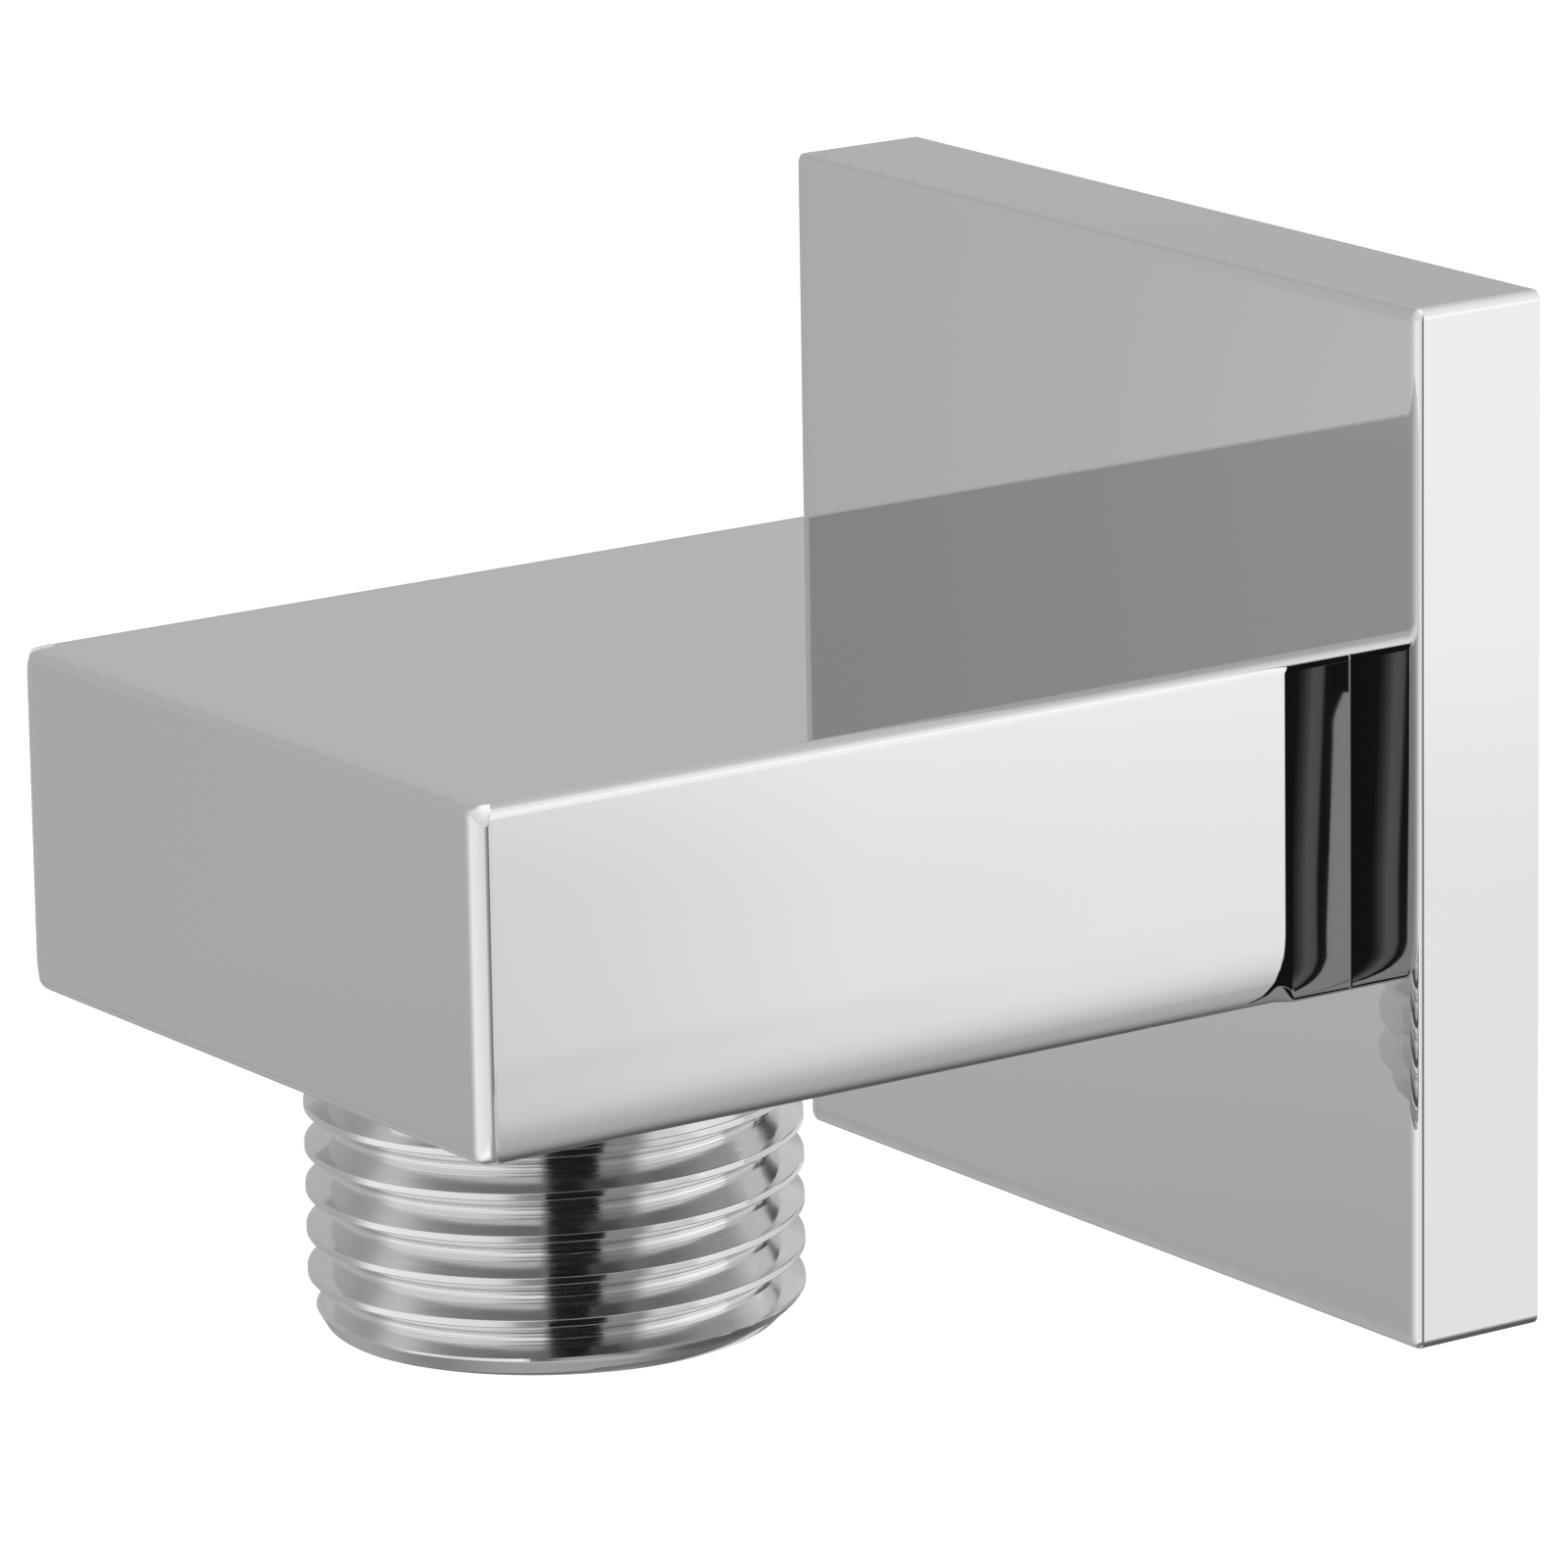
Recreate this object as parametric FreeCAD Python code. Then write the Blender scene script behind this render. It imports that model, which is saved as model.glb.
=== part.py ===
import FreeCAD, Part
import math
import os

# Wall outlet elbow for a shower hose, in millimetres.
# The origin is the centre of the inlet's mouth, in the plane of the wall.
# +X runs along the plate's width, +Y into the wall and +Z up, so the arm stands out along -Y.

# Square wall plate
PLATE_SIDE = 44.6
PLATE_THICKNESS = 6.3
PLATE_FACE_EDGE_RADIUS = 0.35
PLATE_CORNER_RADIUS = 0.4

# Flat arm, whose middle stands a little below the plate's middle
ARM_WIDTH = 35.2
ARM_HEIGHT = 14.8
ARM_LENGTH = 43.4
ARM_DROP = 0.2
ARM_EDGE_RADIUS = 0.35
ARM_END_CORNER_RADIUS = 0.8

# Half inch pipe thread, as on every shower hose
THREAD_CREST_RADIUS = 10.4775
THREAD_ROOT_RADIUS = 9.3155
THREAD_PITCH = 1.8143
THREAD_HALF_ANGLE = 27.5
THREAD_ROUNDING = 0.249

# Threaded outlet under the front of the arm
OUTLET_AXIS_FROM_WALL = 34.9
OUTLET_LENGTH = 12.8
OUTLET_NECK_LENGTH = 1.0
OUTLET_RUNOUT_LENGTH = 1.4
OUTLET_LEAD_IN_LENGTH = 1.15
OUTLET_LEAD_IN_DEPTH = 0.66
OUTLET_BORE_RADIUS = 6.5

# Waterway along the arm, and the round tenon that joins arm and plate
WATERWAY_RADIUS = 4.75
TENON_RADIUS = 6.25
TENON_CLEARANCE = 0.02

# Threaded inlet in the back of the plate, closed by a thin web round the tenon
INLET_DEPTH = 5.0
INLET_COUNTERSINK_RADIUS = 10.55
INLET_COUNTERSINK_DEPTH = 0.6
INLET_THREAD_END_GAP = 1.1

# How far the tools that cut a hole or a thread stand clear of the metal
CUT_MARGIN = 2.0
THREAD_MARGIN = 0.12

# Equal arcs that a turned wall is made in, which keeps each thread crest a row of short faces
WALL_SECTORS = 8

# Places that follow from the sizes
ARM_BACK_Y = -PLATE_THICKNESS
ARM_END_Y = ARM_BACK_Y - ARM_LENGTH
ARM_TOP_Z = ARM_HEIGHT / 2 - ARM_DROP
ARM_BOTTOM_Z = -ARM_HEIGHT / 2 - ARM_DROP
OUTLET_END_Z = ARM_BOTTOM_Z - OUTLET_LENGTH
OUTLET_CENTRE = FreeCAD.Vector(0, -OUTLET_AXIS_FROM_WALL, OUTLET_END_Z)
TENON_LENGTH = PLATE_THICKNESS - INLET_DEPTH

UP = FreeCAD.Vector(0, 0, 1)
INTO_WALL = FreeCAD.Vector(0, 1, 0)


def near(value, target):
    return abs(value - target) < 1e-4


def runs_along(edge, direction):
    tangent = edge.tangentAt(edge.FirstParameter)
    return near(abs(tangent.dot(direction)), 1)


def lies_at_depth(edge, depth):
    return all(near(vertex.Y, depth) for vertex in edge.Vertexes)


def is_level(edge):
    heights = [vertex.Z for vertex in edge.Vertexes]
    return near(heights[0], heights[-1])


def cylinder(radius, base, axis, length):
    return Part.makeCylinder(radius, length, base, axis)


def turned(profile):
    """A solid turned about Z from points (radius, height), with its wall in equal arcs."""
    points = [FreeCAD.Vector(radius, 0, height) for radius, height in profile]
    face = Part.Face(Part.makePolygon(points + points[:1]))
    step = 360.0 / WALL_SECTORS
    sectors = []
    for index in range(WALL_SECTORS):
        sector = face.revolve(FreeCAD.Vector(0, 0, 0), UP, step)
        sector.rotate(FreeCAD.Vector(0, 0, 0), UP, index * step)
        sectors.append(sector)
    return sectors[0].multiFuse(sectors[1:]).Solids[0]


def thread_profile(bottom_radius, rounding, open_radius):
    """The outline of one thread groove at angle 0, from its round bottom to its open side."""
    half_angle = math.radians(THREAD_HALF_ANGLE)
    way = math.copysign(1, open_radius - bottom_radius)
    centre = bottom_radius + way * rounding
    tangent_radius = centre - way * rounding * math.sin(half_angle)
    tangent_half_width = rounding * math.cos(half_angle)
    open_half_width = tangent_half_width + abs(open_radius - tangent_radius) * math.tan(half_angle)
    lower_open = FreeCAD.Vector(open_radius, 0, -open_half_width)
    lower_tangent = FreeCAD.Vector(tangent_radius, 0, -tangent_half_width)
    bottom = FreeCAD.Vector(bottom_radius, 0, 0)
    upper_tangent = FreeCAD.Vector(tangent_radius, 0, tangent_half_width)
    upper_open = FreeCAD.Vector(open_radius, 0, open_half_width)
    return Part.Wire([
        Part.makeLine(lower_open, lower_tangent),
        Part.Arc(lower_tangent, bottom, upper_tangent).toShape(),
        Part.makeLine(upper_tangent, upper_open),
        Part.makeLine(upper_open, lower_open),
    ])


def cut_thread(shape, profile, start, top, place):
    """Cuts a right-hand thread, half a turn at a time, with its middle crossing angle 0 at height 0."""
    half_turn = Part.makeHelix(THREAD_PITCH, THREAD_PITCH / 2, THREAD_ROOT_RADIUS)
    groove = Part.Wire(half_turn.Edges).makePipeShell([profile], True, True)
    for step in range(math.ceil(2 * start / THREAD_PITCH), math.floor(2 * top / THREAD_PITCH)):
        piece = groove.copy()
        piece.rotate(FreeCAD.Vector(0, 0, 0), UP, 180 * step)
        piece.translate(UP * (step * THREAD_PITCH / 2))
        shape = shape.cut(place(piece))
    return shape


def as_made(shape):
    return shape


def threaded_outlet():
    """The outlet's outer form about Z, with its open end at height 0."""
    neck_start = OUTLET_LENGTH - OUTLET_NECK_LENGTH
    blank = turned([
        (0, 0),
        (THREAD_CREST_RADIUS - OUTLET_LEAD_IN_DEPTH, 0),
        (THREAD_CREST_RADIUS, OUTLET_LEAD_IN_LENGTH),
        (THREAD_CREST_RADIUS, OUTLET_LENGTH),
        (0, OUTLET_LENGTH),
    ])
    profile = thread_profile(THREAD_ROOT_RADIUS, THREAD_ROUNDING, THREAD_CREST_RADIUS + THREAD_MARGIN)
    threaded = cut_thread(blank, profile, -THREAD_PITCH, neck_start, as_made)
    # The groove grows shallow towards the neck
    runout = turned([
        (0, neck_start - OUTLET_RUNOUT_LENGTH),
        (THREAD_ROOT_RADIUS, neck_start - OUTLET_RUNOUT_LENGTH),
        (THREAD_CREST_RADIUS, neck_start),
        (THREAD_CREST_RADIUS, OUTLET_LENGTH),
        (0, OUTLET_LENGTH),
    ])
    return threaded.fuse(runout)


def arm_block():
    """The flat arm, with its end and its long edges slightly rounded."""
    corner = FreeCAD.Vector(-ARM_WIDTH / 2, ARM_END_Y, ARM_BOTTOM_Z)
    block = Part.makeBox(ARM_WIDTH, ARM_LENGTH, ARM_HEIGHT, corner)
    upright = [edge for edge in block.Edges if runs_along(edge, UP) and lies_at_depth(edge, ARM_END_Y)]
    block = block.makeFillet(ARM_END_CORNER_RADIUS, upright)
    rim = [edge for edge in block.Edges if is_level(edge) and not lies_at_depth(edge, ARM_BACK_Y)]
    return block.makeFillet(ARM_EDGE_RADIUS, rim)


def outlet_body():
    """Arm, tenon and threaded outlet in one piece, bored through."""
    outlet = threaded_outlet()
    outlet.translate(OUTLET_CENTRE)
    tenon_base = FreeCAD.Vector(0, ARM_BACK_Y, 0)
    tenon = cylinder(TENON_RADIUS, tenon_base, INTO_WALL, TENON_LENGTH)
    body = arm_block().fuse(tenon).fuse(outlet)
    along_base = FreeCAD.Vector(0, -OUTLET_AXIS_FROM_WALL, 0)
    along = cylinder(WATERWAY_RADIUS, along_base, INTO_WALL, OUTLET_AXIS_FROM_WALL)
    down_base = OUTLET_CENTRE - UP * CUT_MARGIN
    down_length = WATERWAY_RADIUS - OUTLET_END_Z + CUT_MARGIN
    down = cylinder(OUTLET_BORE_RADIUS, down_base, UP, down_length)
    return body.cut(along).cut(down)


def plain_inlet():
    """The inlet's cutter about Z before threading, with its mouth at height 0."""
    return turned([
        (0, -INLET_DEPTH),
        (THREAD_ROOT_RADIUS, -INLET_DEPTH),
        (THREAD_ROOT_RADIUS, -INLET_COUNTERSINK_DEPTH),
        (INLET_COUNTERSINK_RADIUS, 0),
        (INLET_COUNTERSINK_RADIUS, CUT_MARGIN),
        (0, CUT_MARGIN),
    ])


def facing_wall(shape):
    """The shape turned so that what pointed up points into the wall."""
    shape.rotate(FreeCAD.Vector(0, 0, 0), FreeCAD.Vector(1, 0, 0), -90)
    return shape


def wall_plate():
    """The square plate, with the inlet in its back and the tenon's hole through its web."""
    corner = FreeCAD.Vector(-PLATE_SIDE / 2, -PLATE_THICKNESS, -PLATE_SIDE / 2)
    plate = Part.makeBox(PLATE_SIDE, PLATE_THICKNESS, PLATE_SIDE, corner)
    sides = [edge for edge in plate.Edges if runs_along(edge, INTO_WALL)]
    plate = plate.makeFillet(PLATE_CORNER_RADIUS, sides)
    rim = [edge for edge in plate.Edges if lies_at_depth(edge, -PLATE_THICKNESS)]
    plate = plate.makeFillet(PLATE_FACE_EDGE_RADIUS, rim)
    plate = plate.cut(facing_wall(plain_inlet()))
    profile = thread_profile(THREAD_CREST_RADIUS, THREAD_ROUNDING, THREAD_ROOT_RADIUS - THREAD_MARGIN)
    thread_end = INLET_THREAD_END_GAP - INLET_DEPTH
    plate = cut_thread(plate, profile, thread_end, THREAD_PITCH, facing_wall)
    hole_base = FreeCAD.Vector(0, -PLATE_THICKNESS - CUT_MARGIN, 0)
    hole_radius = TENON_RADIUS + TENON_CLEARANCE
    hole = cylinder(hole_radius, hole_base, INTO_WALL, PLATE_THICKNESS + CUT_MARGIN)
    return plate.cut(hole)


def write(name, shape):
    """Writes one piece, and prints what it measures."""
    solid = shape.Solids[0]
    solid.exportStep(os.path.join("parts", name + ".step"))
    box = solid.BoundBox
    print(name, "solids", len(shape.Solids), "valid", solid.isValid(), "volume", round(solid.Volume, 2))
    print("  x", round(box.XMin, 3), round(box.XMax, 3), "y", round(box.YMin, 3), round(box.YMax, 3),
          "z", round(box.ZMin, 3), round(box.ZMax, 3))


os.makedirs("parts", exist_ok=True)
write("outlet_body", outlet_body())
write("wall_plate", wall_plate())
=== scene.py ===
import math

import bpy
from mathutils import Matrix, Vector
from mathutils.geometry import tessellate_polygon


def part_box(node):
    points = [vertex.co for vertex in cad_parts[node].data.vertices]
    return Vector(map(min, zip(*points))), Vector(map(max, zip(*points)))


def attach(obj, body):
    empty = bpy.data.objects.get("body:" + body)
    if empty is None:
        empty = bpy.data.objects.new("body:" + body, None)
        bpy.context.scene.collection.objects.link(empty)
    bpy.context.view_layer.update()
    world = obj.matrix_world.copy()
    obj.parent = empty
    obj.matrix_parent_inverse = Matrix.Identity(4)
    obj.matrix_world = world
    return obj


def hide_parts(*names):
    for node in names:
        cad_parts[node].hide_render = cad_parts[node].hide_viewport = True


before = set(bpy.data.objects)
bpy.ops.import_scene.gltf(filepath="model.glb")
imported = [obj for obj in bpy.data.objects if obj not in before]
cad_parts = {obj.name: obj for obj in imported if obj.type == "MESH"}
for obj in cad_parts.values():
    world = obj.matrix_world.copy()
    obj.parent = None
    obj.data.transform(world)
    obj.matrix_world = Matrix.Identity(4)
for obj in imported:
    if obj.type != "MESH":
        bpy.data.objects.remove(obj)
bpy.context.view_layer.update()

MM = 0.001

# The box of each CAD node, in metres, places every piece
ARM_LOW, ARM_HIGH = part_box("outlet_body")
PLATE_LOW, PLATE_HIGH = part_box("wall_plate")

# Arm
ARM_HALF_WIDTH = ARM_HIGH.x
ARM_END_Y = ARM_LOW.y
ARM_BACK_Y = PLATE_LOW.y
ARM_TOP_Z = ARM_HIGH.z
ARM_HEIGHT = 14.8 * MM
ARM_BOTTOM_Z = ARM_TOP_Z - ARM_HEIGHT

# A worked edge goes from one wall's normal, at 0 degrees, to the next wall's, at 90.
# It is a chain of arcs: (up to this angle, radius in mm).
ARM_END_CORNER = [(12.5, 0.7), (37, 0.05), (80, 1.0), (90, 2.7)]
ARM_END_TOP = [(10, 1.5), (75, 0.3), (90, 2)]
ARM_END_BOTTOM = [(10, 1), (90, 0.3)]
ARM_SIDE_TOP = [(6, 2), (60, 0.22), (80, 1), (90, 3.5)]
ARM_SIDE_BOTTOM = [(1.7, 57), (3.7, 30), (6, 16.7), (11.2, 6.4), (15.6, 2.9), (21, 0.64), (90, 0.3)]
# The corners where three faces meet are rounder
ARM_CAP_LEFT = [(45, 1.7), (90, 0.7)]
ARM_CAP_RIGHT = [(45, 1.0), (90, 0.45)]
# The plate shields the arm's lower edge from the polishing wheel, which leaves it sharper there
ARM_FOOT_BOTTOM = [
    (0.03, 600), (0.08, 260), (0.16, 150), (0.28, 100), (0.45, 60),
    (0.7, 32), (1.05, 17), (2, 5), (6, 1.2), (90, 0.12),
]
# The edge along the side, at the foot and at the end
ARM_TOP_EDGES = (ARM_SIDE_TOP, ARM_SIDE_TOP, ARM_END_TOP)
ARM_BOTTOM_EDGES = (ARM_SIDE_BOTTOM, ARM_FOOT_BOTTOM, ARM_END_BOTTOM)
# (distance from the plate in mm, how much of the edge is shielded)
FOOT_SHARES = [
    (5.0, 0.0), (3.9, 0.0), (3.75, 0.06), (3.6, 0.2), (3.45, 0.42), (3.3, 0.66),
    (3.15, 0.88), (3.0, 1.0), (1.5, 1.0), (0.09, 1.0), (0.0, 1.0),
]
# Degrees that the arm's side is out of square where it is shielded, and that it rolls off in the seam
OUT_OF_SQUARE = 0.116
SEAM_TURN = 4.0
# The arm's outline shrinks lengthwise only this near its end
CORNER_REACH = 1.5 * MM

# Plate
PLATE_HALF_SIDE = PLATE_HIGH.x
PLATE_CORNER = [(90, 0.45)]
PLATE_EDGE = [(23, 0.2), (37, 0.04), (75, 0.28), (82, 0.7), (87.8, 2.8), (90, 5.5)]
# How far the plate's outline would have to shrink for its corners to be sharp
PLATE_REACH = 2.0 * MM

# Half inch pipe thread
CREST_RADIUS = 10.4775 * MM
ROOT_RADIUS = 9.3155 * MM
THREAD_DEPTH = CREST_RADIUS - ROOT_RADIUS
PITCH = 1.8143 * MM
HALF_ANGLE = math.radians(27.5)
ROUNDING = 0.249 * MM
CREST_ROUNDING = 0.06 * MM

# Outlet
OUTLET_Y = -34.9 * MM
OUTLET_END_Z = ARM_LOW.z
OUTLET_LENGTH = ARM_BOTTOM_Z - OUTLET_END_Z
LEAD_IN_LENGTH = 1.15 * MM
LEAD_IN_DEPTH = 0.66 * MM
NECK_LENGTH = 1.0 * MM
NECK_START = OUTLET_LENGTH - NECK_LENGTH
RUNOUT_LENGTH = 1.4 * MM
BORE_RADIUS = 6.5 * MM

# Waterway, tenon and inlet
WATERWAY_RADIUS = 4.75 * MM
TENON_RADIUS = 6.25 * MM
TENON_HOLE_RADIUS = 6.27 * MM
TENON_END_Y = ARM_HIGH.y
INLET_DEPTH = PLATE_HIGH.y - TENON_END_Y
INLET_MOUTH_RADIUS = 10.55 * MM
INLET_COUNTERSINK_DEPTH = 0.6 * MM
# The inlet's thread fades out between these depths
INLET_FADE_START = 3.4 * MM
INLET_FADE_END = 4.7 * MM

# Chrome with a faint haze
CHROME = (0.80, 0.80, 0.805, 1)
HAZE_SCALE = 180.0
HAZE_ROUGHNESS = (0.003, 0.009)
NOISE_DETAIL = 3.0

# The fine rings that the tool left on the threads, and the matt lead-in at the outlet's open end
RING_SCALE = 250.0
RING_STRETCH = 30
RING_HEIGHT = 0.0025 * MM
RING_ROUGHNESS = (0.06, 0.17)
# Most of the noise lies between these values
NOISE_SPAN = (0.3, 0.7)
LEAD_IN_ROUGHNESS = 0.34
LEAD_IN_MATT = 0.8 * MM
# How far a machined zone keeps from the polished face beside it
SKIN = 0.02 * MM

# How finely curves are drawn
AROUND = 288
WATERWAY_AROUND = 96
ROOT_STEPS = 4
FLANK_STEPS = 5
CREST_STEPS = 3
CORNER_ANGLES = [0, 6, 9, 12.5, 18, 23, 27, 32, 37, 44, 51, 58, 65, 72, 80, 84, 87, 90]
EDGE_ANGLES = [
    0, 0.03, 0.08, 0.16, 0.28, 0.45, 0.7, 1.05, 1.7, 2.7, 3.7, 6, 8.5, 11, 15, 21,
    28, 36, 45, 54, 62, 69, 75, 80, 84, 87, 88.5, 90,
]
PLATE_ANGLES = [0, 12, 23, 30, 37, 45, 54, 62, 69, 75, 79, 82, 85, 87, 88.2, 89.1, 89.6, 90]
# Turns drawn beyond either end of a thread, which fall together there and are left out
SPARE_TURNS = 2
# Corners nearer than this, in metres, are one
MERGE = 1e-7
# A quad is drawn flat if the cosine between its own normal and a corner's is below this
STRADDLE = 0.8
# A circle's points this near its widest line, in metres, lie on it
NEAR_ZERO = 1e-12


class Shell:
    """A closed surface made of patches that carry their own exact normals."""

    def __init__(self):
        self.index = {}
        self.points = []
        self.faces = []
        self.normals = []
        self.smooth = []

    def corner(self, point):
        key = tuple(round(c / MERGE) for c in point)
        if key not in self.index:
            self.index[key] = len(self.points)
            self.points.append(tuple(point))
        return self.index[key]

    def face(self, points, normals=None):
        """One face, unless its corners fall together. Without normals it is flat."""
        ids = []
        kept = []
        for k, point in enumerate(points):
            i = self.corner(point)
            if i not in ids:
                ids.append(i)
                kept.append(normals[k] if normals else (0, 0, 0))
        if len(ids) > 2:
            self.faces.append(ids)
            self.normals.extend(kept)
            self.smooth.append(normals is not None)

    def grid(self, rows, normals, flip=False):
        """Quads between rows of equal length. A quad that straddles a crease is drawn flat."""
        for (a, b), (na, nb) in zip(zip(rows, rows[1:]), zip(normals, normals[1:])):
            for i in range(len(a) - 1):
                points = [a[i], a[i + 1], b[i + 1], b[i]]
                facing = [na[i], na[i + 1], nb[i + 1], nb[i]]
                if flip:
                    points.reverse()
                    facing.reverse()
                own = (points[2] - points[0]).cross(points[3] - points[1])
                if own.length > 0:
                    own.normalize()
                    if min(own.dot(n) for n in facing) < STRADDLE:
                        facing = None
                self.face(points, facing)

    def flat(self, loop, normal, hole=None):
        """A flat face inside a loop, less a hole, that looks along the normal."""
        loops = [loop, hole] if hole else [loop]
        points = [p for part in loops for p in part]
        if not hole:
            triangles = [list(range(len(loop)))]
        else:
            triangles = [list(t) for t in tessellate_polygon(loops)]
        for triangle in triangles:
            corners = [points[k] for k in triangle]
            facing = sum((p.cross(q) for p, q in zip(corners, corners[1:] + corners[:1])), Vector())
            if facing.dot(normal) < 0:
                corners.reverse()
            self.face(corners)

    def build(self, name):
        mesh = bpy.data.meshes.new(name)
        mesh.from_pydata(self.points, [], self.faces)
        mesh.polygons.foreach_set("use_smooth", self.smooth)
        mesh.normals_split_custom_set([tuple(n) for n in self.normals])
        mesh.update()
        obj = bpy.data.objects.new(name, mesh)
        bpy.context.scene.collection.objects.link(obj)
        return obj


def worked_edge(arcs, angles):
    """A polished edge's section at the given angles: (inset from the wall, inset from the face)."""
    def along(angle):
        inset = run = start = 0
        for stop, radius in arcs:
            end = min(stop, angle)
            if end > start:
                t0, t1 = math.radians(start), math.radians(end)
                inset += radius * (math.cos(t0) - math.cos(t1))
                run += radius * (math.sin(t1) - math.sin(t0))
            start = stop
        return inset * MM, run * MM

    whole = along(90)[1]
    return [(along(angle)[0], whole - along(angle)[1]) for angle in angles]


def wall_and_face(angles):
    """The wall's and the face's share of the normal at each angle of an edge."""
    return [(math.cos(math.radians(a)), math.sin(math.radians(a))) for a in angles]


def mix(a, b, share):
    return a + (b - a) * share


def circle(radius, count=AROUND):
    """Points (angle, cosine, sine) round a circle, the first one again at the end."""
    turns = [2 * math.pi * k / count for k in range(count + 1)]
    return [(t, radius * math.cos(t), radius * math.sin(t)) for t in turns]


def arm_plan():
    """One side of the arm's plan, from its foot to its end.

    Each place is (inset from the side, distance from the end, normal's share along the side's
    normal, its share along the end's, foot's share).
    """
    length = ARM_BACK_Y - ARM_END_Y
    places = []
    for distance, foot in reversed(FOOT_SHARES):
        turn = math.radians(OUT_OF_SQUARE * foot if distance > 0 else SEAM_TURN)
        places.append((0, length - distance * MM, math.cos(turn), -math.sin(turn), foot))
    corner = worked_edge(ARM_END_CORNER, CORNER_ANGLES)
    for (inset, drop), (side, end) in zip(corner, wall_and_face(CORNER_ANGLES)):
        places.append((inset, drop, side, end, 0))
    return places


def arm_point(place, inset, sign):
    """Where a place of the plan stands when the outline shrinks, on the right (1) or left (-1) side."""
    from_side, from_end = place[:2]
    x = sign * (ARM_HALF_WIDTH - inset - from_side)
    if from_end > CORNER_REACH:
        return x, ARM_END_Y + from_end
    return x, ARM_END_Y + from_end + inset


def arm_edge(below):
    """Rows round the arm's upper or lower edge, from the lowest to the highest, with their normals."""
    plan = arm_plan()
    loop = [(place, -1) for place in plan] + [(place, 1) for place in reversed(plan)]
    edges = ARM_BOTTOM_EDGES if below else ARM_TOP_EDGES
    at_side, at_foot, at_end = (worked_edge(arcs, EDGE_ANGLES) for arcs in edges)
    left_cap = worked_edge(ARM_CAP_LEFT, EDGE_ANGLES)
    right_cap = worked_edge(ARM_CAP_RIGHT, EDGE_ANGLES)
    shares = wall_and_face(EDGE_ANGLES)
    order = range(len(EDGE_ANGLES))
    rows, normals = [], []
    for k in reversed(order) if below else order:
        wall, face = shares[k]
        row, facing = [], []
        for place, sign in loop:
            side, end, foot = place[2:]
            at_front = max(end, 0)
            # A corner takes its cap's rounding, but for the lower right one
            rounded = 0 if below and sign > 0 else (2 * side * at_front) ** 2
            cap = right_cap if sign > 0 else left_cap
            inset, drop = (
                mix(mix(mix(a, b, foot), c, at_front ** 2), d, rounded)
                for a, b, c, d in zip(at_side[k], at_foot[k], at_end[k], cap[k])
            )
            x, y = arm_point(place, inset, sign)
            z = ARM_BOTTOM_Z + drop if below else ARM_TOP_Z - drop
            row.append(Vector((x, y, z)))
            facing.append(Vector((sign * side * wall, -end * wall, -face if below else face)))
        rows.append(row)
        normals.append(facing)
    return rows, normals


def arm_shell(shell):
    """The arm's outside, with a round opening below for the outlet and one behind for the tenon."""
    lower, lower_normals = arm_edge(True)
    upper, upper_normals = arm_edge(False)
    rows = lower + upper
    shell.grid(rows, lower_normals + upper_normals)
    shell.flat(rows[-1], Vector((0, 0, 1)))
    hole = [Vector((x, y + OUTLET_Y, ARM_BOTTOM_Z)) for t, x, y in circle(CREST_RADIUS)[:-1]]
    shell.flat(rows[0], Vector((0, 0, -1)), hole)
    foot = [row[0] for row in reversed(rows)] + [row[-1] for row in rows]
    tenon = [Vector((-x, ARM_BACK_Y, z)) for t, x, z in circle(TENON_RADIUS)[:-1]]
    shell.flat(foot, Vector((0, 1, 0)), tenon)


def thread_section():
    """One pitch of the thread from a root to the next.

    Each place is (height, depth below the crest, slope of depth over height).
    """
    tangent_height = ROUNDING * math.cos(HALF_ANGLE)
    tangent_depth = THREAD_DEPTH - ROUNDING * (1 - math.sin(HALF_ANGLE))
    slope = 1 / math.tan(HALF_ANGLE)
    edge_height = tangent_height + tangent_depth * math.tan(HALF_ANGLE)
    turn = math.pi / 2 - HALF_ANGLE
    cut = CREST_ROUNDING * math.tan(turn / 2)
    half = []
    for k in range(ROOT_STEPS + 1):
        a = turn * k / ROOT_STEPS
        d = THREAD_DEPTH - ROUNDING * (1 - math.cos(a))
        half.append((ROUNDING * math.sin(a), d, math.tan(a)))
    flank_height = edge_height - cut * math.sin(HALF_ANGLE)
    flank_depth = cut * math.cos(HALF_ANGLE)
    for k in range(1, FLANK_STEPS + 1):
        share = k / FLANK_STEPS
        z = tangent_height + (flank_height - tangent_height) * share
        half.append((z, tangent_depth + (flank_depth - tangent_depth) * share, slope))
    for k in range(1, CREST_STEPS + 1):
        a = turn * (1 - k / CREST_STEPS)
        z = edge_height + cut - CREST_ROUNDING * math.sin(a)
        half.append((z, CREST_ROUNDING * (1 - math.cos(a)), math.tan(a)))
    half.append((PITCH / 2, 0.0, 0.0))
    other = [(PITCH - z, d, -s) for z, d, s in reversed(half[:-1])]
    return half + other[:-1]


THREAD_SECTION = thread_section()


def thread_radius(z):
    """(radius, slope) of the thread at a height above the middle of a groove."""
    z = z % PITCH
    section = THREAD_SECTION + [(PITCH, THREAD_DEPTH, 0.0)]
    for (z0, d0, s0), (z1, d1, s1) in zip(section, section[1:]):
        if z0 <= z <= z1:
            share = (z - z0) / (z1 - z0)
            return CREST_RADIUS - (d0 + (d1 - d0) * share), s0 + (s1 - s0) * share
    return ROOT_RADIUS, 0.0


def as_rows(columns):
    return [list(row) for row in zip(*columns)]


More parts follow.
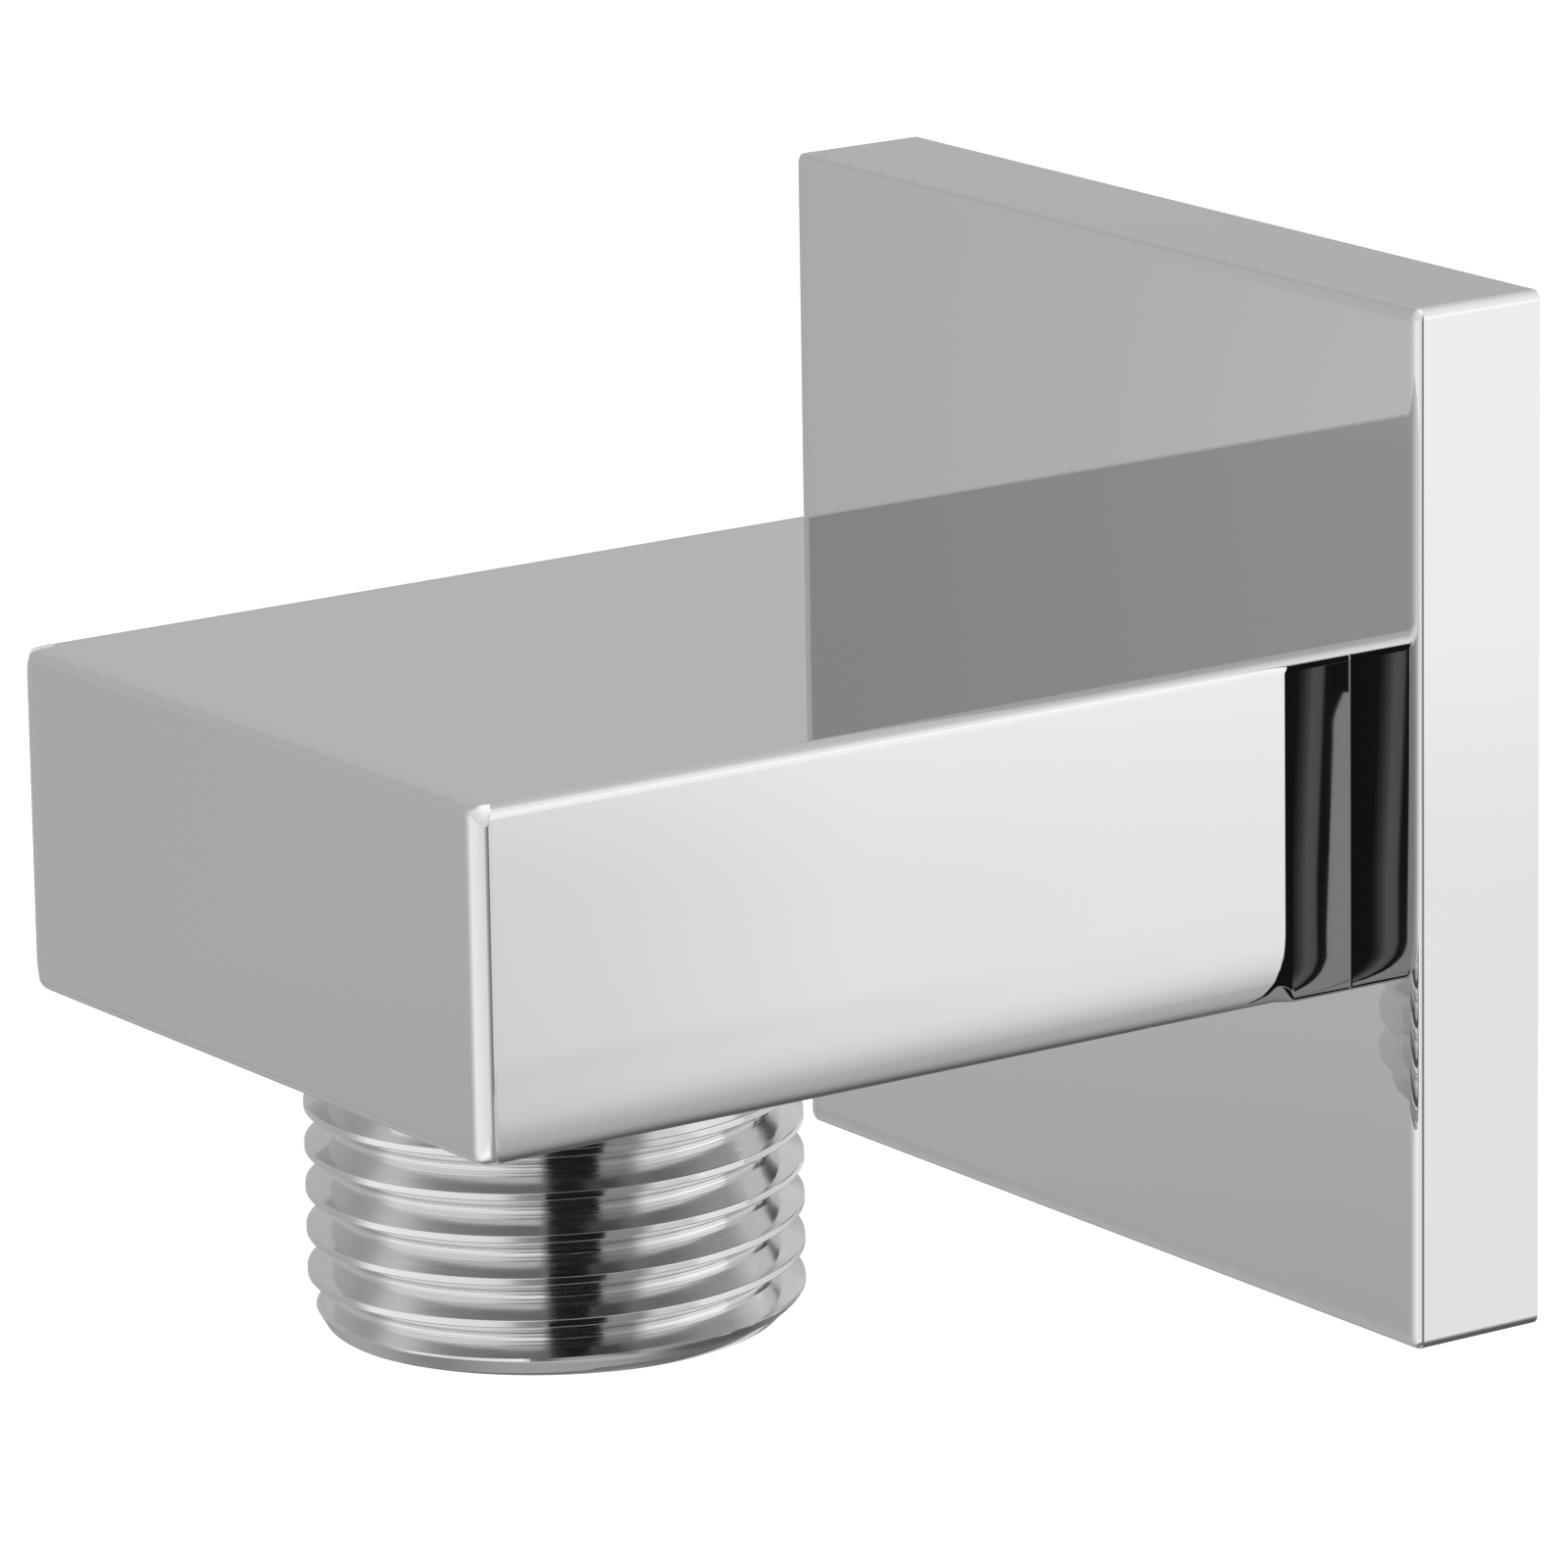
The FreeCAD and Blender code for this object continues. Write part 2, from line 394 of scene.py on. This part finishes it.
def outlet_section(z, rise, depth, slope):
    """The outlet's wall at a height above its open end: (height, radius, slope, lead).

    The rise is the height of a groove's middle, and the lead its climb for each mm round the wall.
    """
    radius = CREST_RADIUS - depth
    steep = slope
    lead = PITCH / (2 * math.pi * radius)
    cut_z = min(max(z, 0), OUTLET_LENGTH)
    if cut_z != z:
        radius, steep = thread_radius(cut_z - rise)
    cone = CREST_RADIUS - LEAD_IN_DEPTH * (1 - cut_z / LEAD_IN_LENGTH)
    if cone < radius:
        radius, steep, lead = cone, LEAD_IN_DEPTH / LEAD_IN_LENGTH, 0
    left_to_neck = min(max((NECK_START - cut_z) / RUNOUT_LENGTH, 0), 1)
    filled = CREST_RADIUS - THREAD_DEPTH * left_to_neck
    if filled > radius or cut_z >= NECK_START:
        radius, lead = filled, 0
        steep = 0 if cut_z >= NECK_START else THREAD_DEPTH / RUNOUT_LENGTH
    return cut_z, radius, steep, lead


def outside_thread(shell):
    """The outlet's outer wall from its open end up to the arm."""
    turns = int(OUTLET_LENGTH / PITCH) + 1 + SPARE_TURNS
    columns, normals = [], []
    for k in range(AROUND + 1):
        angle = 2 * math.pi * k / AROUND
        rise = PITCH * k / AROUND
        out = Vector((math.cos(angle), math.sin(angle), 0))
        along = Vector((-math.sin(angle), math.cos(angle), 0))
        column, facing = [], []
        for turn in range(-SPARE_TURNS, turns):
            for height, depth, slope in THREAD_SECTION:
                z = rise + turn * PITCH + height
                z, radius, steep, lead = outlet_section(z, rise, depth, slope)
                normal = out + along * (steep * lead) - Vector((0, 0, steep))
                column.append(Vector((radius * out.x, OUTLET_Y + radius * out.y, OUTLET_END_Z + z)))
                facing.append(normal.normalized())
        columns.append(column)
        normals.append(facing)
    rows = as_rows(columns)
    shell.grid(rows, as_rows(normals))
    return rows[0][:-1]


def waterway_opening(angle):
    """How high the waterway's opening in the bore's wall reaches above its middle."""
    x = BORE_RADIUS * math.cos(angle)
    if math.sin(angle) < 0 or abs(x) >= WATERWAY_RADIUS:
        return 0.0
    return math.sqrt(max(WATERWAY_RADIUS ** 2 - x ** 2, 0))


def bore_wall(shell, angles, low, high):
    """The bore's wall between two rows of heights."""
    rows = [[], []]
    facing = []
    for angle, z0, z1 in zip(angles, low, high):
        x, y = BORE_RADIUS * math.cos(angle), BORE_RADIUS * math.sin(angle)
        rows[0].append(Vector((x, y + OUTLET_Y, z0)))
        rows[1].append(Vector((x, y + OUTLET_Y, z1)))
        facing.append(Vector((-math.cos(angle), -math.sin(angle), 0)))
    shell.grid(rows, [facing, facing], flip=True)
    return rows


def bore(shell, end_loop):
    """The outlet's end face and its bore, which the waterway opens into."""
    down = Vector((0, 0, -1))
    side = [t for t, x, y in circle(1)[:-1] if not (y > 0 and abs(x) * BORE_RADIUS < WATERWAY_RADIUS)]
    way = circle(WATERWAY_RADIUS, WATERWAY_AROUND)
    through = [math.acos(x / BORE_RADIUS) for t, x, z in way if z >= -NEAR_ZERO]
    angles = sorted(side + through)
    angles.append(angles[0] + 2 * math.pi)
    count = len(angles)
    openings = [waterway_opening(a) for a in angles]
    lower = bore_wall(shell, angles, [OUTLET_END_Z] * count, [-reach for reach in openings])
    upper = bore_wall(shell, angles, openings, [WATERWAY_RADIUS] * count)
    shell.flat(end_loop, down, lower[0][:-1])
    shell.flat(upper[1][:-1], down)


def waterway_and_tenon(shell):
    """The level waterway from the bore to the end of the tenon, and the tenon round it."""
    near, far, inward = [], [], []
    for t, x, z in circle(WATERWAY_RADIUS, WATERWAY_AROUND):
        near.append(Vector((x, OUTLET_Y + math.sqrt(BORE_RADIUS ** 2 - x ** 2), z)))
        far.append(Vector((x, TENON_END_Y, z)))
        inward.append(Vector((-math.cos(t), 0, -math.sin(t))))
    shell.grid([near, far], [inward, inward])
    foot, end, outward = [], [], []
    for t, x, z in circle(TENON_RADIUS):
        foot.append(Vector((x, ARM_BACK_Y, z)))
        end.append(Vector((x, TENON_END_Y, z)))
        outward.append(Vector((math.cos(t), 0, math.sin(t))))
    shell.grid([foot, end], [outward, outward], flip=True)
    shell.flat(end[:-1], Vector((0, 1, 0)), far[:-1])


def outlet_body():
    shell = Shell()
    arm_shell(shell)
    bore(shell, outside_thread(shell))
    waterway_and_tenon(shell)
    return shell.build("outlet_body_polished")


def plate_outline(inset):
    """The plate's outline seen from the front, anticlockwise, shrunk by an inset.

    Each place is (x, z, normal's x, normal's z).
    """
    shrink = 1 - inset / PLATE_REACH
    side = PLATE_HALF_SIDE - inset
    quarter = []
    corner = worked_edge(PLATE_CORNER, CORNER_ANGLES)
    for (wall, face), (nx, nz) in zip(corner, wall_and_face(CORNER_ANGLES)):
        quarter.append((side - wall * shrink, side - face * shrink, nx, nz))
    loop = []
    for _ in range(4):
        loop += quarter
        quarter = [(-z, x, -nz, nx) for x, z, nx, nz in quarter]
    return loop + loop[:1]


def inlet_section(y, rise, depth, slope):
    """The inlet's wall at a place between its web and its mouth at 0: (place, radius, slope)."""
    cut_y = min(max(y, -INLET_DEPTH), 0)
    if cut_y != y:
        mirrored, slope = thread_radius(cut_y - rise)
        depth = CREST_RADIUS - mirrored
    radius = ROOT_RADIUS + depth
    steep = -slope
    fade_length = INLET_FADE_END - INLET_FADE_START
    fade = min(max((INLET_FADE_END + cut_y) / fade_length, 0), 1)
    limit = ROOT_RADIUS + THREAD_DEPTH * fade
    if limit < radius:
        radius = limit
        steep = THREAD_DEPTH / fade_length if fade > 0 else 0
    countersink = INLET_MOUTH_RADIUS - ROOT_RADIUS
    mouth = INLET_MOUTH_RADIUS + countersink * cut_y / INLET_COUNTERSINK_DEPTH
    if mouth > radius:
        radius = mouth
        steep = countersink / INLET_COUNTERSINK_DEPTH
    return cut_y, radius, steep


def inlet_wall(shell):
    """The inlet's threaded wall, from the web to the mouth in the plate's back."""
    turns = int(INLET_DEPTH / PITCH) + SPARE_TURNS
    columns, normals = [], []
    for k in range(AROUND + 1):
        angle = 2 * math.pi * k / AROUND
        rise = PITCH * k / AROUND
        out = Vector((math.cos(angle), 0, -math.sin(angle)))
        column, facing = [], []
        for turn in range(-turns, SPARE_TURNS):
            for height, depth, slope in THREAD_SECTION:
                y = rise + turn * PITCH + height
                y, radius, steep = inlet_section(y, rise, depth, slope)
                normal = Vector((0, steep, 0)) - out
                column.append(Vector((radius * out.x, PLATE_HIGH.y + y, radius * out.z)))
                facing.append(normal.normalized())
        columns.append(column)
        normals.append(facing)
    rows = as_rows(columns)
    shell.grid(rows, as_rows(normals), flip=True)
    return rows[0][:-1], rows[-1][:-1]


def wall_plate():
    shell = Shell()
    front, back = PLATE_LOW.y, PLATE_HIGH.y
    section = [(0, back, 1, 0)]
    edge = worked_edge(PLATE_EDGE, PLATE_ANGLES)
    for (inset, drop), (wall, face) in zip(edge, wall_and_face(PLATE_ANGLES)):
        section.append((inset, front + drop, wall, -face))
    rows, normals = [], []
    for inset, y, wall, face in section:
        outline = plate_outline(inset)
        rows.append([Vector((x, y, z)) for x, z, nx, nz in outline])
        normals.append([Vector((nx * wall, face, nz * wall)) for x, z, nx, nz in outline])
    shell.grid(rows, normals)
    behind = Vector((0, 1, 0))
    hole_front = [Vector((x, front, z)) for t, x, z in circle(TENON_HOLE_RADIUS)]
    hole_back = [Vector((p.x, TENON_END_Y, p.z)) for p in hole_front]
    inward = [Vector((-p.x, 0, -p.z)).normalized() for p in hole_front]
    shell.grid([hole_front, hole_back], [inward, inward])
    shell.flat(rows[-1][:-1], -behind, hole_front[:-1])
    web, mouth = inlet_wall(shell)
    shell.flat(rows[0][:-1], behind, mouth)
    shell.flat(web, behind, hole_back[:-1])
    return shell.build("wall_plate_polished")


# Materials


def link(tree, start, end):
    tree.links.new(start, end)


def feed(tree, value, socket):
    """Gives a socket a number, or another node's output."""
    if isinstance(value, (int, float)):
        socket.default_value = value
    else:
        link(tree, value, socket)


def maths(tree, operation, a, b=0.0):
    node = tree.nodes.new("ShaderNodeMath")
    node.operation = operation
    feed(tree, a, node.inputs[0])
    feed(tree, b, node.inputs[1])
    return node.outputs[0]


def smooth_step(tree, value, low, high):
    node = tree.nodes.new("ShaderNodeMapRange")
    node.interpolation_type = "SMOOTHSTEP"
    node.inputs["From Min"].default_value = low
    node.inputs["From Max"].default_value = high
    link(tree, value, node.inputs["Value"])
    return node.outputs["Result"]


def blend_values(tree, share, a, b):
    node = tree.nodes.new("ShaderNodeMix")
    node.data_type = "FLOAT"
    feed(tree, share, node.inputs[0])
    feed(tree, a, node.inputs[2])
    feed(tree, b, node.inputs[3])
    return node.outputs[0]


def ramp(tree, value, low, high, stops):
    """A chain of straight slopes between stops of (place, brightness).

    The stops hold half the brightness, and the outcome is doubled, since a stop can't go above 1.
    """
    node = tree.nodes.new("ShaderNodeValToRGB")
    node.color_ramp.interpolation = "LINEAR"
    elements = node.color_ramp.elements
    while len(elements) > 1:
        elements.remove(elements[-1])
    for k, (place, brightness) in enumerate(stops):
        share = (place - low) / (high - low)
        element = elements[0] if k == 0 else elements.new(share)
        element.position = share
        element.color = (brightness / 2, brightness / 2, brightness / 2, 1)
    from_low = maths(tree, "SUBTRACT", value, low)
    link(tree, maths(tree, "DIVIDE", from_low, high - low), node.inputs["Fac"])
    return maths(tree, "MULTIPLY", node.outputs["Color"], 2.0)


def noise(tree, place, scale):
    node = tree.nodes.new("ShaderNodeTexNoise")
    node.inputs["Scale"].default_value = scale
    node.inputs["Detail"].default_value = NOISE_DETAIL
    link(tree, place, node.inputs["Vector"])
    return node.outputs["Fac"]


def spread(tree, value, low, high, start=0.0, end=1.0):
    """Goes evenly from low to high as the value goes from start to end."""
    node = tree.nodes.new("ShaderNodeMapRange")
    node.inputs["From Min"].default_value = start
    node.inputs["From Max"].default_value = end
    node.inputs["To Min"].default_value = low
    node.inputs["To Max"].default_value = high
    link(tree, value, node.inputs["Value"])
    return node.outputs["Result"]


def below_arm(tree, x, y, z):
    return maths(tree, "LESS_THAN", z, ARM_BOTTOM_Z - SKIN)


def inside_inlet(tree, x, y, z):
    across = maths(tree, "ADD", maths(tree, "MULTIPLY", x, x), maths(tree, "MULTIPLY", z, z))
    near_axis = maths(tree, "LESS_THAN", across, INLET_MOUTH_RADIUS ** 2)
    return maths(tree, "MULTIPLY", near_axis, maths(tree, "GREATER_THAN", y, PLATE_LOW.y + SKIN))


def chrome(name, machined, stretch, matt_height):
    """Bright chrome with a faint haze.

    Machined places keep the tool's fine rings, and are matt below a height.
    """
    material = bpy.data.materials.new(name)
    material.use_nodes = True
    tree = material.node_tree
    shader = tree.nodes["Principled BSDF"]
    shader.inputs["Base Color"].default_value = CHROME
    shader.inputs["Metallic"].default_value = 1.0
    place = tree.nodes.new("ShaderNodeTexCoord").outputs["Object"]
    haze = spread(tree, noise(tree, place, HAZE_SCALE), *HAZE_ROUGHNESS)
    parts = tree.nodes.new("ShaderNodeSeparateXYZ")
    link(tree, place, parts.inputs[0])
    cut = machined(tree, *parts.outputs)
    stretched = tree.nodes.new("ShaderNodeVectorMath")
    stretched.operation = "MULTIPLY"
    stretched.inputs[1].default_value = stretch
    link(tree, place, stretched.inputs[0])
    rings = noise(tree, stretched.outputs["Vector"], RING_SCALE)
    turned = spread(tree, rings, *RING_ROUGHNESS, *NOISE_SPAN)
    matt = maths(tree, "LESS_THAN", parts.outputs["Z"], matt_height)
    turned = blend_values(tree, matt, turned, LEAD_IN_ROUGHNESS)
    link(tree, blend_values(tree, cut, haze, turned), shader.inputs["Roughness"])
    bump = tree.nodes.new("ShaderNodeBump")
    bump.inputs["Distance"].default_value = RING_HEIGHT
    link(tree, maths(tree, "MULTIPLY", rings, cut), bump.inputs["Height"])
    link(tree, bump.outputs["Normal"], shader.inputs["Normal"])
    return material


# Pieces


def finish_piece(piece, material, *nodes):
    piece.data.materials.append(material)
    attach(piece, "root")
    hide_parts(*nodes)


OUTLET_CHROME = chrome("chrome_outlet", below_arm, (1, 1, RING_STRETCH), OUTLET_END_Z + LEAD_IN_MATT)
PLATE_CHROME = chrome("chrome_plate", inside_inlet, (1, RING_STRETCH, 1), PLATE_LOW.z)
finish_piece(outlet_body(), OUTLET_CHROME, "outlet_body")
finish_piece(wall_plate(), PLATE_CHROME, "wall_plate")


# Studio: what the chrome mirrors, as brightness by direction


# Brightness round the horizon: (azimuth from +X, brightness)
GROUND = [(-180, 0.5), (180, 0.5)]
DIM_BAND = [
    (-180, 0.5), (-149, 0.5), (-147, 0.33), (-144.7, 0.335), (-143, 0.37), (-141, 0.4),
    (-138, 0.42), (-125, 0.85), (0, 0.9), (25, 1.0), (35, 1.1), (90, 1.1), (145, 0.53),
    (180, 0.5),
]
# Every band: (elevation, its brightness by azimuth)
BANDS = [
    (-90, GROUND),
    (-72, GROUND),
    (-58, [
        (-180, 0.3), (-150, 0.3), (-138, 0.15), (20, 0.14), (60, 0.12), (120, 0.12), (180, 0.3),
    ]),
    (-45, [
        (-180, 0.45), (-155, 0.45), (-140, 0.3), (-41, 0.28), (20, 0.2), (60, 0.12), (120, 0.12),
        (150, 0.18), (170, 0.38), (180, 0.45),
    ]),
    (-28, [
        (-180, 0.47), (-146, 0.5), (-125, 1.0), (-90, 1.2), (-70, 1.1), (-58, 0.4), (-41, 0.34),
        (-10, 0.8), (30, 0.52), (50, 0.46), (90, 0.3), (120, 0.26), (150, 0.22), (170, 0.4),
        (180, 0.47),
    ]),
    (-17.5, [
        (-180, 0.48), (-149, 0.43), (-141, 0.45), (-138, 0.55), (-128, 1.0), (-95, 0.94),
        (-62, 0.85), (-56, 0.7), (-51, 0.42), (-46, 0.3), (-41, 0.26), (-10, 0.75), (30, 0.66),
        (33, 0.69), (35, 0.85), (37, 0.93), (39, 0.94), (60, 0.85), (100, 0.7), (130, 0.4),
        (180, 0.48),
    ]),
    (-15, [
        (-180, 0.49), (-149, 0.48), (-142, 0.51), (-138, 0.6), (-128, 1.0), (-95, 0.94),
        (-62, 0.85), (-56, 0.7), (-51, 0.42), (-46, 0.3), (-41, 0.26), (-10, 0.85), (30, 0.75),
        (33, 0.77), (35, 0.94), (37, 0.96), (39, 0.95), (60, 0.9), (100, 0.8), (130, 0.5),
        (180, 0.49),
    ]),
    (-13.2, [
        (-180, 0.5), (-149, 0.48), (-144.5, 0.5), (-142, 0.57), (-138, 0.65), (-128, 1.0),
        (-95, 0.94), (-62, 0.82), (-56, 0.65), (-51, 0.42), (-46, 0.3), (-41, 0.26), (-10, 0.9),
        (30, 1.0), (33, 1.02), (35, 1.08), (37, 1.06), (39, 1.05), (60, 1.0), (100, 0.9),
        (130, 0.55), (180, 0.5),
    ]),
    (-8, [
        (-180, 0.5), (-145, 0.5), (-142, 0.52), (-138, 0.53), (-128, 0.95), (-60, 0.9),
        (-41, 0.7), (0, 0.9), (35, 1.1), (90, 1.1), (130, 0.6), (180, 0.5),
    ]),
    (-2, [
        (-180, 0.5), (-140, 0.51), (-125, 0.8), (-45, 0.8), (5, 0.8), (25, 0.95), (35, 1.25),
        (90, 1.1), (145, 0.5), (180, 0.5),
    ]),
    (8, [
        (-180, 0.5), (-140, 0.51), (-125, 0.8), (-45, 0.8), (5, 0.8), (25, 0.95), (35, 1.2),
        (90, 1.1), (145, 0.5), (180, 0.5),
    ]),
    (10.5, [
        (-180, 0.5), (-142, 0.5), (-125, 0.85), (0, 0.9), (25, 1.0), (35, 1.15), (90, 1.1),
        (140, 0.5), (145, 0.5), (180, 0.5),
    ]),
    (11.7, [
        (-180, 0.5), (-142, 0.48), (-125, 0.85), (0, 0.9), (25, 1.0), (35, 1.1), (90, 1.1),
        (140, 0.49), (145, 0.48), (180, 0.5),
    ]),
    (12.5, DIM_BAND),
    (14.5, DIM_BAND),
    (15.5, [
        (-180, 0.5), (-142, 0.5), (-125, 0.85), (0, 0.9), (38, 1.05), (90, 1.0), (145, 0.53),
        (180, 0.5),
    ]),
    (32, [
        (-180, 0.5), (-142, 0.5), (-125, 0.85), (0, 1.0), (90, 1.0), (125, 0.7), (145, 0.55),
        (180, 0.5),
    ]),
    (52, [
        (-180, 0.51), (-150, 0.52), (-125, 0.9), (-90, 1.1), (0, 1.1), (60, 0.95), (105, 0.8),
        (135, 0.6), (180, 0.55),
    ]),
    (68, [(-180, 1.2), (180, 1.2)]),
]

# The dark opening behind the camera: (azimuth, brightness)
OPENING_DARK = 0.009
OPENING = [(-41, 0.26), (-38.35, 0.29), (-38.25, OPENING_DARK), (-10.9, OPENING_DARK), (-10.5, 0.85)]
# It fades in and out between these elevations
OPENING_FOOT = (-64, -60)
OPENING_HEAD = (30, 45)
# Its edge at -38 degrees leans outwards below, between these elevations
LEAN_ELEVATIONS = (-18.5, -25.0)
LEAN_AZIMUTHS = (-38.6, -42.3)
# Two grey stripes stand in it, which lean a little between these elevations
STRIPES = [
    (-38.002, OPENING_DARK), (-37.969, OPENING_DARK), (-37.956, 0.10), (-37.939, 0.105),
    (-37.904, 0.115), (-37.874, 0.06), (-37.844, 0.028), (-37.814, OPENING_DARK),
    (-37.744, OPENING_DARK),
]
STRIPE_LEAN = (0.0, 0.05)
STRIPE_ELEVATIONS = (-14.8, -13.6)
# A grey wedge runs down beside the same edge, and widens from a blunt tip
WEDGE_SIDES = (-38.3, -38.144)
WEDGE_TOP = -13.79
WEDGE_TIP = (-13.68, -13.98)
WEDGE_WIDTHS = (0.085, 0.124)
WEDGE_ELEVATIONS = (-14.05, -15.1)
WEDGE_BRIGHTNESS = 0.29
# The wall beyond its other edge is shaded: (azimuth, share of its light)
SHADE = [(-10.5, 0.36), (5, 0.38), (14, 1.0)]

# What all but the chrome sees
PLAIN_LIGHT = 1.25
WHITE = (1, 1, 1, 1)


def between(tree, value, low, high):
    above = maths(tree, "GREATER_THAN", value, low)
    below = maths(tree, "LESS_THAN", value, high)
    return maths(tree, "MULTIPLY", above, below)


def bands_light(tree, azimuth, elevation):
    """The bands, each one blending smoothly into the next."""
    light = ramp(tree, azimuth, -180, 180, BANDS[0][1])
    for (lower, _), (upper, stops) in zip(BANDS, BANDS[1:]):
        share = smooth_step(tree, elevation, lower, upper)
        light = blend_values(tree, share, light, ramp(tree, azimuth, -180, 180, stops))
    return light


def opening_light(tree, azimuth, elevation):
    """The dark opening with its stripes and its wedge."""
    light = ramp(tree, azimuth, OPENING[0][0], OPENING[-1][0], OPENING)
    left, right = STRIPES[0][0], STRIPES[-1][0]
    lean = spread(tree, elevation, *STRIPE_LEAN, *STRIPE_ELEVATIONS)
    upright = maths(tree, "ADD", azimuth, lean)
    stripes = ramp(tree, upright, left, right, STRIPES)
    light = blend_values(tree, between(tree, upright, left, right), light, stripes)
    width = spread(tree, elevation, *WEDGE_WIDTHS, *WEDGE_ELEVATIONS)
    width = maths(tree, "MULTIPLY", width, smooth_step(tree, elevation, *WEDGE_TIP))
    wedge = between(tree, azimuth, WEDGE_SIDES[0], maths(tree, "ADD", width, WEDGE_SIDES[1]))
    wedge = maths(tree, "MULTIPLY", wedge, maths(tree, "LESS_THAN", elevation, WEDGE_TOP))
    return blend_values(tree, wedge, light, WEDGE_BRIGHTNESS)


def opening_height(tree, elevation):
    """1 between the opening's foot and its head, and 0 below and above."""
    above_foot = smooth_step(tree, elevation, *OPENING_FOOT)
    above_head = smooth_step(tree, elevation, *OPENING_HEAD)
    return maths(tree, "MULTIPLY", above_foot, maths(tree, "SUBTRACT", 1.0, above_head))


def studio_light(tree, azimuth, elevation):
    """The bands with the opening, the shaded wall beside it and its leaning side below."""
    light = bands_light(tree, azimuth, elevation)
    height = opening_height(tree, elevation)
    across = between(tree, azimuth, OPENING[0][0], OPENING[-1][0])
    opening = opening_light(tree, azimuth, elevation)
    light = blend_values(tree, maths(tree, "MULTIPLY", across, height), light, opening)
    near, far = SHADE[0][0], SHADE[-1][0]
    shaded = maths(tree, "MULTIPLY", light, ramp(tree, azimuth, near, far, SHADE))
    beside = maths(tree, "MULTIPLY", between(tree, azimuth, near, far), height)
    light = blend_values(tree, beside, light, shaded)
    lean = spread(tree, elevation, *LEAN_AZIMUTHS, *LEAN_ELEVATIONS)
    leaning = between(tree, azimuth, lean, LEAN_AZIMUTHS[0])
    foot = between(tree, elevation, LEAN_ELEVATIONS[1], LEAN_ELEVATIONS[0])
    return blend_values(tree, maths(tree, "MULTIPLY", leaning, foot), light, OPENING_DARK)


def background(tree, strength):
    node = tree.nodes.new("ShaderNodeBackground")
    node.inputs["Color"].default_value = WHITE
    feed(tree, strength, node.inputs["Strength"])
    return node.outputs[0]


def studio():
    world = bpy.data.worlds.new("studio")
    bpy.context.scene.world = world
    world.use_nodes = True
    tree = world.node_tree
    tree.nodes.clear()
    place = tree.nodes.new("ShaderNodeTexCoord")
    parts = tree.nodes.new("ShaderNodeSeparateXYZ")
    link(tree, place.outputs["Generated"], parts.inputs[0])
    x, y, z = parts.outputs
    azimuth = maths(tree, "DEGREES", maths(tree, "ARCTAN2", y, x))
    elevation = maths(tree, "DEGREES", maths(tree, "ARCSINE", z))
    paths = tree.nodes.new("ShaderNodeLightPath")
    choose = tree.nodes.new("ShaderNodeMixShader")
    link(tree, paths.outputs["Is Glossy Ray"], choose.inputs["Fac"])
    link(tree, background(tree, PLAIN_LIGHT), choose.inputs[1])
    link(tree, background(tree, studio_light(tree, azimuth, elevation)), choose.inputs[2])
    out = tree.nodes.new("ShaderNodeOutputWorld")
    link(tree, choose.outputs[0], out.inputs["Surface"])


studio()


# Plain floor, in metres, below the part
FLOOR_REACH = 12.0
FLOOR_DROP = 0.4
FLOOR_COLOUR = (0.93, 0.93, 0.93, 1)


def floor():
    """A plain white floor far below, which the chrome doesn't mirror."""
    reach, z = FLOOR_REACH, -FLOOR_DROP
    mesh = bpy.data.meshes.new("floor")
    corners = [(-reach, -reach, z), (reach, -reach, z), (reach, reach, z), (-reach, reach, z)]
    mesh.from_pydata(corners, [], [(0, 1, 2, 3)])
    obj = bpy.data.objects.new("floor", mesh)
    bpy.context.scene.collection.objects.link(obj)
    material = bpy.data.materials.new("floor")
    material.use_nodes = True
    shader = material.node_tree.nodes["Principled BSDF"]
    shader.inputs["Base Color"].default_value = FLOOR_COLOUR
    shader.inputs["Roughness"].default_value = 1.0
    shader.inputs["Specular IOR Level"].default_value = 0.0
    mesh.materials.append(material)
    obj.visible_glossy = False


floor()


# Camera at the photograph's viewing angle

CAMERA_PLACE = Vector((348.675, -264.283, 108.321)) * MM
CAMERA_RIGHT = Vector((0.572344, 0.819871, -0.015323))
CAMERA_UP = Vector((-0.193625, 0.153278, 0.969028))
FOCAL_PIXELS = 10566.4
PICTURE_PIXELS = 1600
SENSOR_MM = 36.0
# In metres
CLIP_START = 0.02
CLIP_END = 50


def camera():
    data = bpy.data.cameras.new("camera")
    data.sensor_width = SENSOR_MM
    data.lens = FOCAL_PIXELS / PICTURE_PIXELS * SENSOR_MM
    data.clip_start = CLIP_START
    data.clip_end = CLIP_END
    obj = bpy.data.objects.new("camera", data)
    back = CAMERA_RIGHT.cross(CAMERA_UP)
    turn = Matrix((CAMERA_RIGHT, CAMERA_UP, back)).transposed().to_4x4()
    obj.matrix_world = Matrix.Translation(CAMERA_PLACE) @ turn
    bpy.context.scene.collection.objects.link(obj)
    bpy.context.scene.camera = obj


camera()
bpy.context.scene.view_settings.view_transform = "Standard"
